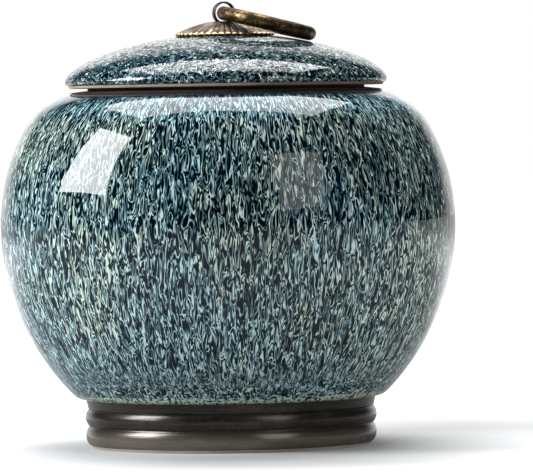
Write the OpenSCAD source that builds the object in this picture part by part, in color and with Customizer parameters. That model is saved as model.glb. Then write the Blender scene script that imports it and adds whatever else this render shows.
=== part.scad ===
// Lidded stoneware urn: a round jar on a turned foot, a domed lid, and a brass pull ring
// held by a split pin and a fluted cap. Millimetres, +Z up. The origin is on the jar's axis,
// at the surface that the foot stands on.

/* [Jar body] */
// Widest radius of the belly
belly_r = 67.55; // [62:0.05:82]
// Height of the widest point above the floor
belly_z = 66; // [60:0.5:80]
// Radius of the curve from the foot up to the widest point
low_curve_r = 71.2; // [66:0.2:90]
// Radius of the curve from the widest point up to the shoulder
high_curve_r = 58; // [52:0.5:70]
// Radius of the shoulder's tighter curve
shoulder_r = 22; // [18:0.5:28]
// Rise of the upper curve at which the shoulder begins, in degrees
shoulder_from = 30; // [24:1:36]
// Angle at which the shoulder ends at the bare rim, in degrees
shoulder_to = 74; // [68:1:80]
// Wall of the body
wall = 4.5; // [3.5:0.1:6]
// Clay between the inside and the hollow under the foot
floor_t = 6; // [5:0.5:9]

/* [Mouth] */
// Width of the bare sloping rim round the neck
rim_w = 5.7; // [4:0.1:8]
// Rise of that rim towards the neck
rim_rise = 0.7; // [0.4:0.1:1.5]
// Height of the neck that the lid sits on
neck_h = 0.7; // [0.5:0.1:3]
// Width of the neck's flat top
neck_w = 3.4; // [2.5:0.1:5]

/* [Foot] */
// Height from the floor to the glaze
foot_h = 14.6; // [11:0.1:18]
// How far the foot is set in under the belly
foot_set = 4.2; // [3:0.1:6]
// Height of the bare edge that touches the floor
bare_h = 0.9; // [0.5:0.1:1.5]
// Height of the lower ridge
low_ridge_h = 5.5; // [4:0.1:6]
// Height of the upper ridge
high_ridge_h = 5.1; // [3:0.1:5.5]
// How far the ridges swell out
ridge_out = 0.85; // [0.3:0.05:1.5]
// Width of the ring that the jar stands on
foot_ring_w = 6; // [4:0.5:10]
// Depth of the hollow under the foot
recess_h = 3; // [2:0.5:5]

/* [Lid] */
// How far the lid's widest edge stands out past the jar's rim
lid_out = 1; // [0.5:0.1:4]
// Height of the lid's edge below its widest point
lid_edge_h = 1.9; // [1.4:0.1:4]
// Rise of the dome above its widest point
dome_h = 14.1; // [10:0.1:20]
// Thickness of the lid
lid_t = 4.2; // [3.5:0.1:5]
// Depth of the flange inside the mouth
flange_h = 5.5; // [3:0.5:10]
// Thickness of the flange
flange_t = 3.5; // [2.5:0.1:5]
// Gap between the flange and the mouth
flange_gap = 0.6; // [0.4:0.1:1.5]
// Radius of the hole for the pin
lid_hole_r = 2; // [1.8:0.1:3]

/* [Cap] */
// Radius of the fluted cap
cap_r = 14.9; // [12:0.1:18]
// Rise of the cap from its edge to its crown
cap_rise = 4; // [3:0.1:6]
// Sheet thickness of the cap
cap_t = 0.5; // [0.4:0.1:1]
// Number of flutes
flutes = 42; // [24:1:48]
// Depth of the flutes at the edge
flute_depth = 0.3; // [0.2:0.05:0.6]
// Radius of the cap's hole
cap_hole_r = 2.9; // [2.8:0.1:3.5]

/* [Pin] */
// Inside radius of the eye
eye_r = 2.9; // [2.9:0.05:3.2]
// Thickness of the strip
strip_t = 0.5; // [0.4:0.05:0.6]
// Width of the strip
strip_w = 1.9; // [1.5:0.1:1.9]
// Turn of the eye about the upright axis, in degrees
eye_turn = 21; // [0:1:21]
// Where the pin stands beside the axis
pin_x = -0.3; // [-0.3:0.1:0.3]
// Length of each leg spread under the lid
leg_spread = 9; // [6:0.5:12]

/* [Ring] */
// Radius of the ring, to the middle of its wire
ring_r = 13.05; // [11.5:0.05:15]
// Radius of the ring's wire
wire_r = 2.05; // [1.5:0.05:2.05]

/* [Hidden] */
SEAT_GAP = 0.05;     // between the cap's edge and the glaze
RING_GAP = 0.25;     // between the ring and the cap and lid that it lies on
LEG_GAP = 0.15;      // between the pin's legs and the underside of the lid
DOME_POWER = 1.7;    // shape of the dome: 2 is an ellipse, less is more pointed
LIP_W = 0.5;         // the glaze stands this far out past the top of the foot
LIP_H = 0.9;         // height of the roll of glaze at the foot
BEVEL_W = 1.3;       // bare bevel below the lid's widest edge
BEVEL_H = 1.15;
$fn = 96;

// Round stretches as points; one that carries on from another starts at its own second point
function arc(c, r, from, to, n, first = 0) =
    [for (i = [first:n]) let(a = from + (to - from) * i / n) c + r * [cos(a), sin(a)]];
function swell(r, z, h, out, n) =
    [for (i = [0:n]) [r + out * sin(180 * i / n), z + h * i / n]];
function shifted(points, by) = [for (p = points) p + by];
function reversed(points) = [for (i = [len(points) - 1:-1:0]) points[i]];

// Centres of the three curves of the body, which the inside shares
low_c = [belly_r - low_curve_r, belly_z];
high_c = [belly_r - high_curve_r, belly_z];
shoulder_c = high_c + (high_curve_r - shoulder_r) * [cos(shoulder_from), sin(shoulder_from)];
function low_angle(r, z) = -asin((belly_z - z) / r);
function body_curve(t, z_low) = concat(
    arc(low_c, low_curve_r - t, low_angle(low_curve_r - t, z_low), 0, 22),
    arc(high_c, high_curve_r - t, 0, shoulder_from, 10, first = 1),
    arc(shoulder_c, shoulder_r - t, shoulder_from, shoulder_to, 12, first = 1));

outside = body_curve(0, foot_h + LIP_H);
inside = body_curve(wall, recess_h + floor_t);
edge = outside[len(outside) - 1];
neck_r = edge[0] - rim_w;
mouth_r = neck_r - neck_w;
seat_z = edge[1] + rim_rise + neck_h;
foot_r = outside[0][0] - foot_set;

// Lid, from its widest point at lid_z
lid_r = edge[0] + lid_out;
lid_z = seat_z + lid_edge_h;
flange_r = mouth_r - flange_gap;
bore_r = flange_r - flange_t;
function dome(a, b, r) = b * pow(1 - pow(r / a, DOME_POWER), 1 / DOME_POWER);
function dome_curve(a, b) = [for (t = [0:4:84])
    [a * pow(cos(t), 2 / DOME_POWER), b * pow(sin(t), 2 / DOME_POWER)]];
function lid_top(r) = lid_z + dome(lid_r, dome_h, r);
function lid_under(r) = lid_z + dome(lid_r - lid_t, dome_h - lid_t, r);

// Cap: the mean height of its upper side
cap_edge_z = lid_top(cap_r) + SEAT_GAP + flute_depth / 2 + cap_t;
function cap_top(r) = cap_edge_z + cap_rise * (1 - pow(r / cap_r, 2));

// Pin and ring: the wire runs through the middle of the eye
wire_z = cap_top(cap_hole_r) + flute_depth / 4 + RING_GAP + wire_r;
eye_z = wire_z + 0.1;
function lie(a, n) = n == 0 ? a : lie(asin((wire_z - lid_top(pin_x + 2 * ring_r * cos(a))
    - (wire_r + RING_GAP) / cos(a)) / (2 * ring_r)), n - 1);
ring_lie = lie(13, 6);

module jar() {
    foot = concat(
        [[foot_r - foot_ring_w, 0], [foot_r - 1, 0], [foot_r - 0.4, bare_h]],
        swell(foot_r, bare_h + 0.3, low_ridge_h - 0.3, ridge_out, 8),
        swell(foot_r + 0.1, bare_h + low_ridge_h + 0.2, high_ridge_h - 0.3, ridge_out, 8),
        [[foot_r + 0.3, bare_h + low_ridge_h + high_ridge_h],
         [foot_r + 0.5, foot_h - 1.6], [foot_r + 1, foot_h],
         [foot_r + 1 + LIP_W, foot_h]]);
    mouth = [[neck_r, edge[1] + rim_rise], [neck_r, seat_z], [mouth_r, seat_z]];
    hollow = concat(reversed([for (p = inside) if (p[0] > mouth_r) p]), [[0, recess_h + floor_t]]);
    shoulder_in = [mouth_r, hollow[0][1] + 0.6];
    color("teal")
        rotate_extrude()
            polygon(concat([[0, recess_h], [foot_r - foot_ring_w - 2, recess_h]],
                foot, outside, mouth, [shoulder_in], hollow));
}

module lid() {
    dome_out = shifted(dome_curve(lid_r, dome_h), [0, lid_z]);
    dome_in = [for (p = dome_curve(lid_r - lid_t, dome_h - lid_t)) if (p[0] < bore_r - 0.5)
        p + [0, lid_z]];
    color("cadetblue")
        rotate_extrude()
            polygon(concat(
                [[flange_r, seat_z], [lid_r - BEVEL_W, seat_z],
                 [lid_r - BEVEL_W / 3, seat_z + BEVEL_H]],
                dome_out,
                [[lid_hole_r, lid_top(lid_hole_r)], [lid_hole_r, lid_under(lid_hole_r)]],
                reversed(dome_in),
                [[bore_r, lid_under(bore_r)], [bore_r, seat_z - flange_h],
                 [flange_r - 0.6, seat_z - flange_h], [flange_r, seat_z - flange_h + 0.6]]));
}

module cap() {
    steps = flutes * 4;
    radii = [cap_hole_r, cap_r * 0.5, cap_r * 0.78, cap_r];
    last = len(radii) - 1;
    // Flutes deepen from the crown to the edge, which they also scallop
    function depth(r) = flute_depth / 2 * pow(r / cap_r, 1.5);
    function at(r, a, drop) = let(w = cos(flutes * a), q = r - depth(r) * (1 - w) / 2)
        [q * cos(a), q * sin(a), cap_top(r) + depth(r) * w - drop];
    function side(drop) = [for (r = radii) for (i = [0:steps - 1]) at(r, 360 * i / steps, drop)];
    under = len(radii) * steps;
    function ids(k, i) = k * steps + i % steps;
    faces = concat(
        [for (k = [0:last - 1]) for (i = [0:steps - 1])
            [ids(k, i), ids(k, i + 1), ids(k + 1, i + 1), ids(k + 1, i)]],
        [for (k = [0:last - 1]) for (i = [0:steps - 1])
            [under + ids(k, i), under + ids(k + 1, i), under + ids(k + 1, i + 1),
             under + ids(k, i + 1)]],
        [for (i = [0:steps - 1]) [ids(0, i), under + ids(0, i), under + ids(0, i + 1),
            ids(0, i + 1)]],
        [for (i = [0:steps - 1]) [ids(last, i), ids(last, i + 1), under + ids(last, i + 1),
            under + ids(last, i)]]);
    color("tan")
        polyhedron(concat(side(0), side(cap_t)), faces);
}

module pin() {
    mid = eye_r + strip_t / 2;                   // to the middle of the strip
    leg_x = strip_t / 2 + 0.05;
    throat_r = 1.5;                              // where the eye turns down into the legs
    throat = [leg_x + throat_r, -sqrt(pow(mid + throat_r, 2) - pow(leg_x + throat_r, 2))];
    turn = atan2(throat[1], throat[0]);
    bend_r = 1;
    bend = [leg_x + bend_r, lid_under(leg_spread) - LEG_GAP - strip_t / 2 + bend_r - eye_z];
    tip = [leg_x + leg_spread, bend[1] - bend_r];
    half = concat(arc([0, 0], mid, 90, turn, 20),
        arc(throat, throat_r, 180 + turn, 180, 6, first = 1),
        arc(bend, bend_r, 180, 270, 6), [tip]);
    path = concat(reversed([for (p = half) [-p[0], p[1]]]), [for (i = [1:len(half) - 1]) half[i]]);
    last = len(path) - 1;
    function across(i) = let(d = path[min(i + 1, last)] - path[max(i - 1, 0)])
        [-d[1], d[0]] / norm(d) * strip_t / 2;
    color("dimgray")
        translate([pin_x, 0, eye_z]) rotate([0, 0, eye_turn]) rotate([90, 0, 0])
            linear_extrude(strip_w, center = true)
                polygon(concat([for (i = [0:last]) path[i] + across(i)],
                    reversed([for (i = [0:last]) path[i] - across(i)])));
}

module ring() {
    color("darkkhaki")
        translate([pin_x, 0, wire_z]) rotate([0, ring_lie, 0]) translate([ring_r, 0, 0])
            rotate_extrude() translate([ring_r, 0]) circle(wire_r);
}

jar();
lid();
cap();
pin();
ring();
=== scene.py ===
"""A keepsake urn in stoneware: jar, lid, fluted brass cap, pin and pull ring, in a small studio."""

import logging
import math
from dataclasses import dataclass
from enum import Enum
from typing import Callable, Iterable, Sequence

import bmesh
import bpy
from mathutils import Matrix, Vector


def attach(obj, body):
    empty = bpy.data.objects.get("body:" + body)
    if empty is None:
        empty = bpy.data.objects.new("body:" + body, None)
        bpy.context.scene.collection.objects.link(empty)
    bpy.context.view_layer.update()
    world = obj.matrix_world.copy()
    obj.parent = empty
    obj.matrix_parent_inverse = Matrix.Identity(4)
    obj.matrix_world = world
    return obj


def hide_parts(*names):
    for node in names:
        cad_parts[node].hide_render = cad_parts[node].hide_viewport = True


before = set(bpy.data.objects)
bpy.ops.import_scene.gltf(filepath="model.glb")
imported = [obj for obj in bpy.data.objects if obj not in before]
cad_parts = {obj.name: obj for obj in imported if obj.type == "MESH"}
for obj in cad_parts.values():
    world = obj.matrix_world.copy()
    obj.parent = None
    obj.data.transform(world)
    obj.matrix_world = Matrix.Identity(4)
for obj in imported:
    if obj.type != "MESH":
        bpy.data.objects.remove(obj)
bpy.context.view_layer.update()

LOG = logging.getLogger("urn")
MM = 0.001
URN, PULL_RING = "urn", "pull_ring"
SEAM = 2e-6  # points nearer than this are one point
SLIVER = 1e-7
Point = tuple[float, float]
Span = tuple[float, float]  # the two values that a smooth step runs between
Place = tuple[float, float, float]
Colour = tuple[float, float, float]
WHITE = (1.0, 1.0, 1.0)


class Zone(Enum):
    """The finishes that share one turned piece, in the order of its material slots."""

    GLAZE = 0
    FOOT = 1
    BARE = 2
    RIM = 3
    LINER = 4


# ---------------------------------------------------------------- outlines


def arc(
    centre: Point, radius: float, start: float, end: float, count: int, first: int = 0,
) -> list[Point]:
    """Points on a round stretch of an outline.

    Args:
        centre: Middle of the arc, as distance from the axis and height.
        radius: Its radius.
        start: Angle of the first point, in degrees above level.
        end: Angle of the last point.
        count: Number of steps.
        first: Step to begin at; 1 where the arc carries on from another.

    Returns:
        The points in order.
    """
    turns = [math.radians(start + (end - start) * i / count) for i in range(first, count + 1)]
    across, up = centre
    return [(across + radius * math.cos(a), up + radius * math.sin(a)) for a in turns]


FINGER_MARKS = (0.0, 0.035, -0.03, 0.02, -0.035, 0.03, -0.015)


def swell(radius: float, low: float, height: float, out: float, count: int) -> list[Point]:
    """Points on a round ridge of the foot, with the faint steps that fingers leave.

    Args:
        radius: Radius at the ridge's two edges.
        low: Height of its lower edge.
        height: Height of the ridge.
        out: How far its middle stands out.
        count: Number of steps.

    Returns:
        The points, from the lower edge up.
    """
    points = []
    for i in range(count + 1):
        part = i / count
        ease = math.sin(math.pi * part) ** 0.7 if 0 < part < 1 else 0.0
        mark = FINGER_MARKS[i % len(FINGER_MARKS)]
        points.append((radius + out * ease + mark * ease, low + height * part))
    return points


# ---------------------------------------------------------------- bench work


def deselect() -> None:
    """Leaves object mode with nothing selected."""
    if bpy.context.object and bpy.context.object.mode != "OBJECT":
        bpy.ops.object.mode_set(mode="OBJECT")
    bpy.ops.object.select_all(action="DESELECT")


def hold(piece: bpy.types.Object) -> None:
    """Selects one piece alone and makes it the active one.

    Args:
        piece: The piece.
    """
    deselect()
    piece.select_set(True)
    bpy.context.view_layer.objects.active = piece


def settle(piece: bpy.types.Object) -> None:
    """Puts a piece's place and turn into its mesh, so that its object sits at the origin."""
    hold(piece)
    bpy.ops.object.transform_apply(location=True, rotation=True, scale=True)


def start_point(name: str, place: Vector) -> bpy.types.Object:
    """Begins a piece as one point, ready to be drawn out in edit mode.

    Args:
        name: Name of the piece.
        place: Where the point stands.

    Returns:
        The object, in edit mode, with its point selected.
    """
    deselect()
    bpy.ops.mesh.primitive_plane_add(size=MM, location=place)
    piece = bpy.context.object
    piece.name = piece.data.name = name
    settle(piece)
    bpy.ops.object.mode_set(mode="EDIT")
    bpy.ops.mesh.select_mode(type="VERT")
    bpy.ops.mesh.select_all(action="SELECT")
    bpy.ops.mesh.merge(type="CENTER")
    return piece


def draw_out(points: Sequence[Vector]) -> None:
    """Extrudes the selected point, the first of a line, through the rest of the line."""
    for here, there in zip(points, points[1:]):
        bpy.ops.mesh.extrude_region_move(TRANSFORM_OT_translate={"value": there - here})


def throw(name: str, outline: Sequence[Point], steps: int) -> bpy.types.Object:
    """Turns an outline round the upright axis, as on a wheel, into a shell.

    Args:
        name: Name of the piece.
        outline: Distance from the axis and height of each point, in millimetres.
        steps: Number of faces round the axis.

    Returns:
        The piece, with its faces pointing one way.
    """
    points = [Vector((r * MM, 0, z * MM)) for r, z in outline]
    piece = start_point(name, points[0])
    draw_out(points)
    bpy.ops.mesh.select_all(action="SELECT")
    bpy.ops.mesh.spin(steps=steps, angle=math.tau, center=(0, 0, 0), axis=(0, 0, 1))
    bpy.ops.mesh.select_all(action="SELECT")
    bpy.ops.mesh.remove_doubles(threshold=SEAM)
    bpy.ops.mesh.dissolve_degenerate(threshold=SLIVER)
    bpy.ops.mesh.select_all(action="SELECT")
    bpy.ops.mesh.normals_make_consistent(inside=False)
    bpy.ops.object.mode_set(mode="OBJECT")
    return piece


def pick(piece: bpy.types.Object, wanted: Callable[[Vector], bool]) -> None:
    """Selects in edit mode the points whose place is wanted, and no others.

    Args:
        piece: The piece.
        wanted: Says of a place whether it is wanted.
    """
    if bpy.context.object is not piece or piece.mode != "EDIT":
        hold(piece)
        bpy.ops.object.mode_set(mode="EDIT")
    bpy.ops.mesh.select_mode(type="VERT")
    work = bmesh.from_edit_mesh(piece.data)
    for vertex in work.verts:
        vertex.select_set(wanted(vertex.co))
    work.select_flush(True)
    work.select_flush(False)
    bmesh.update_edit_mesh(piece.data)


def smooth(piece: bpy.types.Object, angle: float) -> None:
    """Shades a piece smooth, with edges sharper than an angle in degrees left crisp."""
    hold(piece)
    bpy.ops.object.shade_smooth_by_angle(angle=math.radians(angle))


def finish_with(piece: bpy.types.Object, kind: str, **settings: object) -> None:
    """Adds one modifier to a piece, sets it and applies it.

    Args:
        piece: The piece.
        kind: Kind of modifier, such as BEVEL.
        settings: Its settings.
    """
    hold(piece)
    modifier = piece.modifiers.new(kind.title(), kind)
    for label, value in settings.items():
        setattr(modifier, label, value)
    bpy.ops.object.modifier_apply(modifier=modifier.name)


def break_edges(piece: bpy.types.Object, width: float) -> None:
    """Rounds a piece's sharp edges.

    Args:
        piece: The piece.
        width: Width of the rounding, in millimetres.
    """
    finish_with(
        piece, "BEVEL", width=width * MM, segments=2,
        limit_method="ANGLE", angle_limit=math.radians(50),
    )


def everywhere(_place: Vector) -> bool:
    """Takes every point of a piece."""
    return True


def uneven(
    piece: bpy.types.Object, grain: float, depth: float, wanted: Callable[[Vector], bool],
) -> None:
    """Makes a surface gently uneven, as handwork is.

    Args:
        piece: The piece.
        grain: Size of the unevenness, in metres.
        depth: Its whole depth, in metres.
        wanted: Which points take part, by their place.
    """
    group = piece.vertex_groups.new(name="uneven")
    group.add([v.index for v in piece.data.vertices if wanted(v.co)], 1.0, "REPLACE")
    clouds = bpy.data.textures.new(piece.name + "_uneven", "CLOUDS")
    clouds.noise_scale = grain
    clouds.noise_depth = 1
    finish_with(
        piece, "DISPLACE", texture=clouds, strength=depth, mid_level=0.5,
        texture_coords="LOCAL", vertex_group="uneven",
    )
    piece.vertex_groups.remove(piece.vertex_groups["uneven"])


def zone_faces(piece: bpy.types.Object, choose: Callable[[Vector, Vector], Zone]) -> None:
    """Gives each face the slot of its zone, chosen by its middle, in millimetres, and normal."""
    for face in piece.data.polygons:
        face.material_index = choose(face.center / MM, face.normal).value


# ---------------------------------------------------------------- node work


class Bench:
    """A node tree with short ways to place and join its nodes."""

    def __init__(self, tree: bpy.types.NodeTree) -> None:
        """Takes the tree to work on."""
        self.tree = tree

    def add(self, kind: str, **settings: object) -> bpy.types.Node:
        """Places a node.

        Args:
            kind: Its type.
            settings: Its properties.

        Returns:
            The node.
        """
        node = self.tree.nodes.new(kind)
        for label, value in settings.items():
            setattr(node, label, value)
        return node

    def feed(self, socket: bpy.types.NodeSocket, value: object) -> None:
        """Joins another node's socket to this one, or sets a plain value on it.

        Args:
            socket: The input.
            value: The other socket, or the value.
        """
        if isinstance(value, bpy.types.NodeSocket):
            self.tree.links.new(value, socket)
        elif isinstance(value, (tuple, list)) and len(value) == 3 and socket.type == "RGBA":
            socket.default_value = (*value, 1.0)
        else:
            socket.default_value = value

    def sum(self, operation: str, *values: object) -> bpy.types.NodeSocket:
        """Places a Math node.

        Args:
            operation: Its operation, such as MULTIPLY.
            values: Sockets or numbers for its inputs.

        Returns:
            Its output.
        """
        node = self.add("ShaderNodeMath", operation=operation)
        for socket, value in zip(node.inputs, values):
            self.feed(socket, value)
        return node.outputs[0]

    def weigh(self, *shares: tuple[object, float]) -> bpy.types.NodeSocket:
        """Adds values up, each by its share.

        Args:
            shares: The values and their shares.

        Returns:
            The total.
        """
        parts = [self.sum("MULTIPLY", value, share) for value, share in shares]
        total = parts[0]
        for part in parts[1:]:
            total = self.sum("ADD", total, part)
        return total

    def vector(self, operation: str, *values: object) -> bpy.types.NodeSocket:
        """Places a Vector Math node.

        Args:
            operation: Its operation, such as ADD or LENGTH.
            values: Sockets or vectors for its inputs.

        Returns:
            Its output.
        """
        node = self.add("ShaderNodeVectorMath", operation=operation)
        for socket, value in zip(node.inputs, values):
            self.feed(socket, value)
        return node.outputs["Value" if operation == "LENGTH" else "Vector"]

    def split(self, value: object) -> tuple[bpy.types.NodeSocket, ...]:
        """Parts a vector.

        Args:
            value: The vector.

        Returns:
            Its X, Y and Z.
        """
        node = self.add("ShaderNodeSeparateXYZ")
        self.feed(node.inputs[0], value)
        return tuple(node.outputs)

    def step(self, value: object, low: object, high: object) -> bpy.types.NodeSocket:
        """Places a smooth step. It falls instead where low is above high.

        Args:
            value: What it reads.
            low: Value at which it begins, at 0.
            high: Value at which it is done, at 1.

        Returns:
            The step.
        """
        node = self.add("ShaderNodeMapRange", interpolation_type="SMOOTHSTEP")
        for label, item in (("Value", value), ("From Min", low), ("From Max", high)):
            self.feed(node.inputs[label], item)
        return node.outputs["Result"]

    def noise(
        self, place: object, scale: object, detail: float, rough: float = 0.5,
        warp: float = 0.0, out: str = "Fac",
    ) -> bpy.types.NodeSocket:
        """Places a Noise Texture.

        Args:
            place: Its vector.
            scale: Its scale, per metre.
            detail: Its detail.
            rough: Its roughness.
            warp: Its distortion.
            out: Fac or Color.

        Returns:
            That output.
        """
        node = self.add("ShaderNodeTexNoise")
        labels = ("Vector", "Scale", "Detail", "Roughness", "Distortion")
        for label, item in zip(labels, (place, scale, detail, rough, warp)):
            self.feed(node.inputs[label], item)
        return node.outputs[out]

    def blend(
        self, part: object, first: object, second: object, how: str = "MIX",
    ) -> bpy.types.NodeSocket:
        """Places a colour Mix node.

        Args:
            part: How much of the second colour.
            first: First colour or socket.
            second: Second colour or socket.
            how: The way of mixing.

        Returns:
            The mixed colour.
        """
        node = self.add("ShaderNodeMix", data_type="RGBA", blend_type=how, clamp_factor=True)
        for index, item in ((0, part), (6, first), (7, second)):
            self.feed(node.inputs[index], item)
        return node.outputs[2]

    def ramp(
        self, value: object, stops: Sequence[tuple[float, Colour]],
    ) -> bpy.types.NodeSocket:
        """Places a colour ramp.

        Args:
            value: What it reads.
            stops: The places of its stops and their colours.

        Returns:
            Its colour.
        """
        node = self.add("ShaderNodeValToRGB")
        bands = node.color_ramp.elements
        while len(bands) > 1:
            bands.remove(bands[-1])
        bands[0].position, bands[0].color = stops[0][0], (*stops[0][1], 1.0)
        for position, colour in stops[1:]:
            bands.new(position).color = (*colour, 1.0)
        self.feed(node.inputs["Fac"], value)
        return node.outputs["Color"]

    def place(self, group: bpy.types.NodeTree, **values: object) -> bpy.types.Node:
        """Places a node group.

        Args:
            group: The group.
            values: Values for its inputs.

        Returns:
            The group's node.
        """
        node = self.add("ShaderNodeGroup", node_tree=group)
        for label, value in values.items():
            self.feed(node.inputs[label], value)
        return node

    def raise_surface(
        self, shader: bpy.types.Node, height: object, strength: float, depth: float,
    ) -> None:
        """Gives a shader a fine relief through a Bump node.

        Args:
            shader: The shader.
            height: The relief.
            strength: How strongly it shows, from 0 to 1.
            depth: Its depth, in metres.
        """
        bump = self.add("ShaderNodeBump")
        set_shader(bump, Strength=strength, Distance=depth)
        self.feed(bump.inputs["Height"], height)
        self.feed(shader.inputs["Normal"], bump.outputs["Normal"])


def new_group(
    name: str,
    inputs: Iterable[tuple[str, str, object]],
    outputs: Iterable[tuple[str, str]],
) -> tuple[Bench, bpy.types.Node, bpy.types.Node]:
    """Begins a shader node group.

    Args:
        name: Name of the group.
        inputs: Name, kind and first value of each input.
        outputs: Name and kind of each output.

    Returns:
        Its bench, its input node and its output node.
    """
    tree = bpy.data.node_groups.new(name, "ShaderNodeTree")
    for label, kind, value in inputs:
        socket = tree.interface.new_socket(label, in_out="INPUT", socket_type="NodeSocket" + kind)
        if value is not None:
            socket.default_value = (*value, 1.0) if kind == "Color" else value
    for label, kind in outputs:
        tree.interface.new_socket(label, in_out="OUTPUT", socket_type="NodeSocket" + kind)
    bench = Bench(tree)
    return bench, bench.add("NodeGroupInput"), bench.add("NodeGroupOutput")


def new_material(name: str) -> tuple[bpy.types.Material, Bench, bpy.types.Node]:
    """Begins a material.

    Args:
        name: Name of the material.

    Returns:
        The material, its bench and its Principled BSDF.
    """
    material = bpy.data.materials.new(name)
    material.use_nodes = True
    bench = Bench(material.node_tree)
    return material, bench, material.node_tree.nodes["Principled BSDF"]


def set_shader(shader: bpy.types.Node, **values: float) -> None:
    """Sets plain values on a node's own sockets, named with an underscore for each space."""
    for label, value in values.items():
        shader.inputs[label.replace("_", " ")].default_value = value


def grey(tone: float) -> Colour:
    """Returns a grey of this tone."""
    return (tone, tone, tone)


# ---------------------------------------------------------------- effects


# The mottle's tone is a wave wound along folded noise, with some cover and a level added.
WAVE, COVER, MIDDLE = 0.48, 1.15, 0.45
DRIFT, COVER_SCALE = 0.75, 1.45
DEEP_FROM, GROUND_FROM, PALE_FROM = (0.15, 0.40), (0.35, 0.60), (0.62, 0.95)


def mottle_group() -> bpy.types.NodeTree:
    """Builds the glaze's mottle: pale streaks and hooks round dark islands on a teal ground.

    Returns:
        The node group.
    """
    inputs = (
        ("Place", "Vector", None), ("Scale", "Float", 600.0), ("Level", "Float", 0.0),
        ("Turns", "Float", 6.2),
        ("Dark", "Color", (0.0005, 0.003, 0.007)), ("Deep", "Color", (0.012, 0.034, 0.048)),
        ("Ground", "Color", (0.1, 0.165, 0.16)), ("Pale", "Color", (0.5, 0.62, 0.53)),
    )
    outputs = (("Color", "Color"), ("Height", "Float"))
    bench, source, result = new_group("Glaze_mottle", inputs, outputs)
    at, scale = source.outputs["Place"], source.outputs["Scale"]
    drift = bench.noise(at, scale, 1.0, 0.5, 0.0, "Color")
    shift = bench.add("ShaderNodeVectorMath", operation="SCALE")
    bench.feed(shift.inputs[0], bench.vector("SUBTRACT", drift, grey(0.5)))
    bench.feed(shift.inputs["Scale"], bench.sum("DIVIDE", DRIFT, scale))
    warped = bench.vector("ADD", at, shift.outputs["Vector"])
    folds = bench.noise(warped, scale, 2.0, 0.5, 0.6)
    cover = bench.noise(warped, bench.sum("MULTIPLY", scale, COVER_SCALE), 1.0, 0.5, 0.3)
    cover = bench.sum("SUBTRACT", cover, 0.5)
    turns = bench.sum("MULTIPLY", source.outputs["Turns"], math.tau)
    wave = bench.sum("SINE", bench.sum("MULTIPLY", folds, turns))
    tone = bench.weigh((wave, WAVE), (cover, COVER))
    tone = bench.sum("ADD", tone, bench.sum("ADD", source.outputs["Level"], MIDDLE))
    colour = source.outputs["Dark"]
    for span, label in ((DEEP_FROM, "Deep"), (GROUND_FROM, "Ground"), (PALE_FROM, "Pale")):
        colour = bench.blend(bench.step(tone, *span), colour, source.outputs[label])
    bench.feed(result.inputs["Color"], colour)
    bench.feed(result.inputs["Height"], tone)
    return bench.tree


CLEAR_FROM = (0.38, 0.62)
OLD_ROUGHNESS, POLISH = 0.52, 0.24


def patina_group() -> bpy.types.NodeTree:
    """Builds old metal: bright where wear clears it, with patina in between.

    Returns:
        The node group.
    """
    inputs = (
        ("Place", "Vector", None), ("Wear", "Float", 0.5), ("Metal", "Color", (0.6, 0.45, 0.25)),
        ("Patina", "Color", (0.06, 0.045, 0.025)), ("Grain", "Float", 900.0),
    )
    outputs = (("Color", "Color"), ("Roughness", "Float"), ("Height", "Float"))
    bench, source, result = new_group("Aged_brass", inputs, outputs)
    at = source.outputs["Place"]
    broad = bench.noise(at, 260.0, 3.0, 0.6, 0.4)
    fine = bench.noise(at, source.outputs["Grain"], 3.0, 0.65)
    wear_and_sheen = bench.weigh((broad, 0.6), (fine, 0.4))
    wear_and_sheen = bench.sum("ADD", wear_and_sheen, bench.sum("SUBTRACT", source.outputs["Wear"], 0.5))
    clear = bench.step(wear_and_sheen, *CLEAR_FROM)
    colour = bench.blend(clear, source.outputs["Patina"], source.outputs["Metal"])
    bench.feed(result.inputs["Color"], colour)
    rough = bench.sum("SUBTRACT", OLD_ROUGHNESS, bench.sum("MULTIPLY", clear, POLISH))
    bench.feed(result.inputs["Roughness"], rough)
    bench.feed(result.inputs["Height"], fine)
    return bench.tree


# ---------------------------------------------------------------- finishes


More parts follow.
